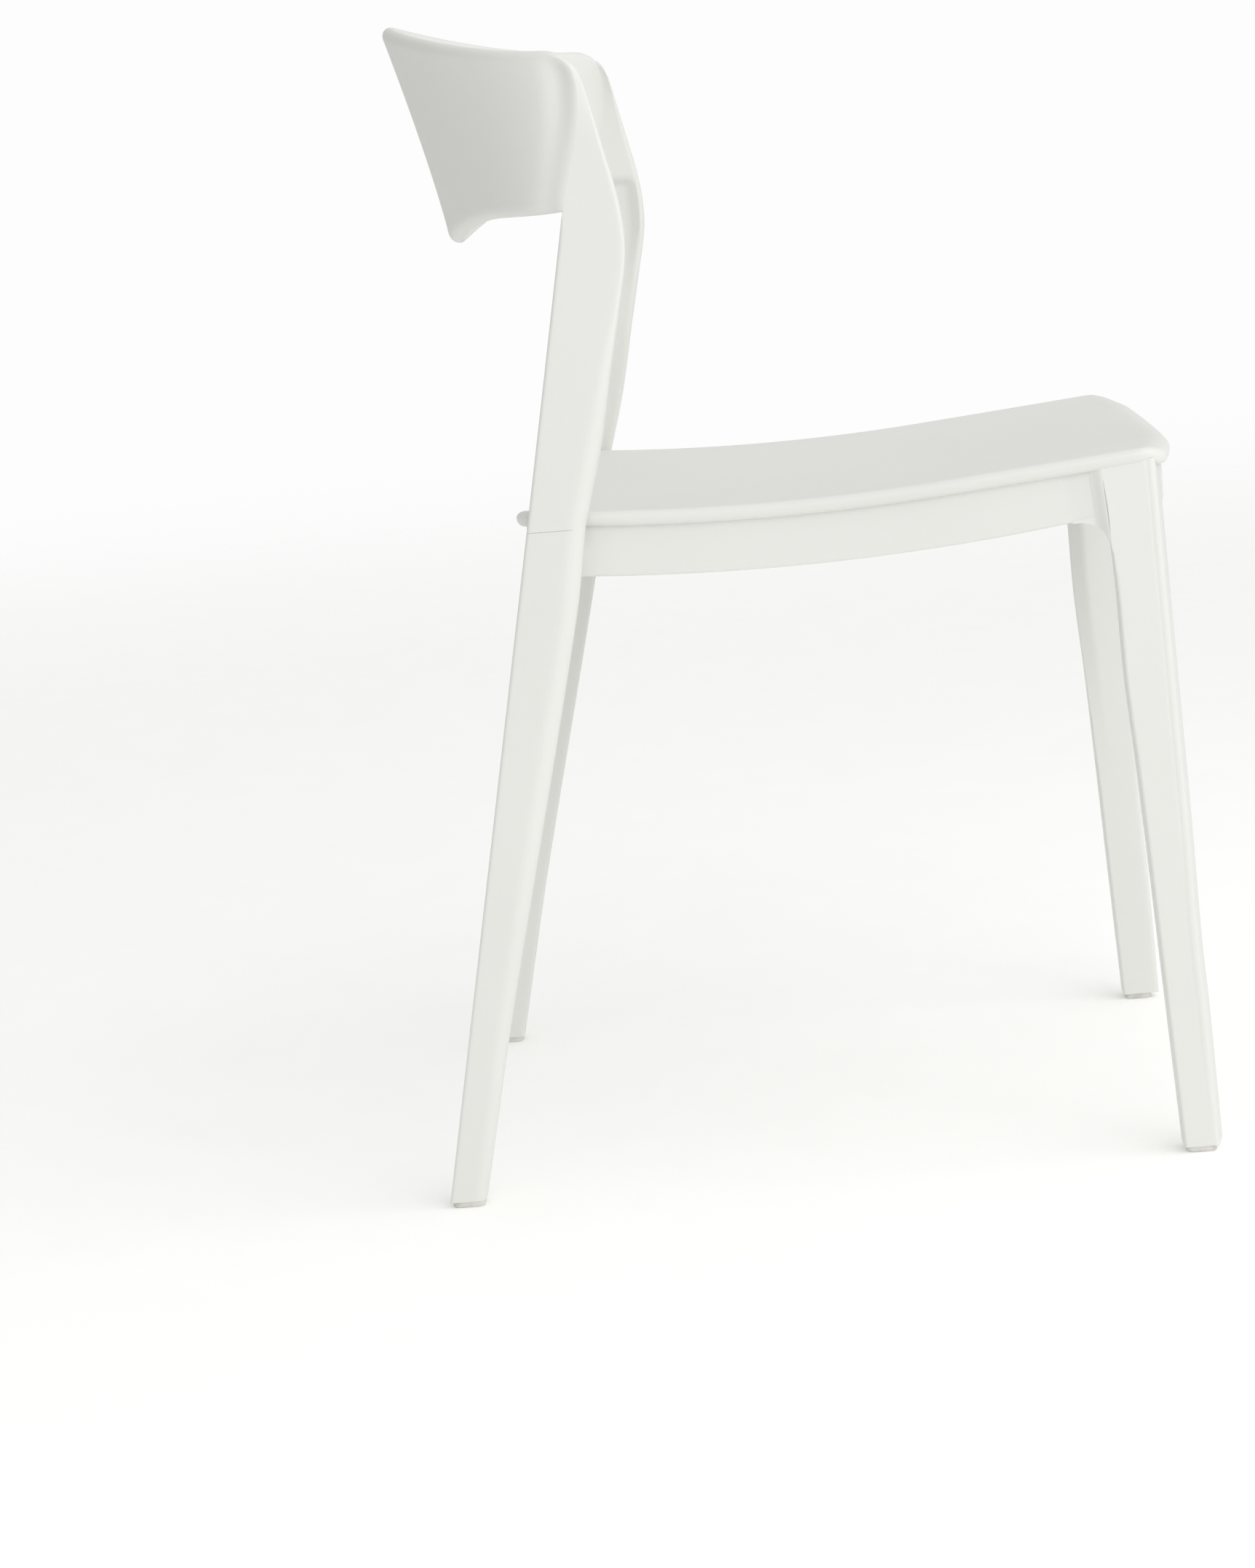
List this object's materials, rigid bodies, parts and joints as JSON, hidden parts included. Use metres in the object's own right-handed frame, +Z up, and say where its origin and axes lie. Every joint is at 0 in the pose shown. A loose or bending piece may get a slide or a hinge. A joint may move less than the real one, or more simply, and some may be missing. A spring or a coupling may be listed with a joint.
{
  "type": "stacking chair",
  "caption": "Stackable side chair with a dished seat, a wrap-round back band folded into flat side posts, and tapered legs.",
  "frame": {"origin": "on the floor, at the middle of the chair's plan: midway between the sides and midway between the seat's front edge and the rear feet", "axes": "+Z up, X across the chair with +X on the sitter's left, the sitter faces -Y"},
  "size_m": [0.465, 0.512, 0.762],
  "materials": {
    "moulded_polypropylene": "satin, finely textured",
    "glide_plastic": "smooth satin",
    "pad_rubber": "matte",
    "zinc_steel": "zinc plated",
    "insert_brass": "turned"
  },
  "bodies": {
    "root": {"seat_shell": "moulded_polypropylene", "seat_frame": "moulded_polypropylene", "back_frame": "moulded_polypropylene", "left_rear_leg": "moulded_polypropylene", "right_rear_leg": "moulded_polypropylene", "front_left_glide": "glide_plastic", "front_right_glide": "glide_plastic", "rear_left_glide": "glide_plastic", "rear_right_glide": "glide_plastic", "front_left_pad": "pad_rubber", "front_right_pad": "pad_rubber", "rear_left_pad": "pad_rubber", "rear_right_pad": "pad_rubber", "seat_screws": "zinc_steel", "leg_bolts": "zinc_steel", "leg_washers": "zinc_steel", "leg_inserts": "insert_brass"}
  },
  "joints": []
}
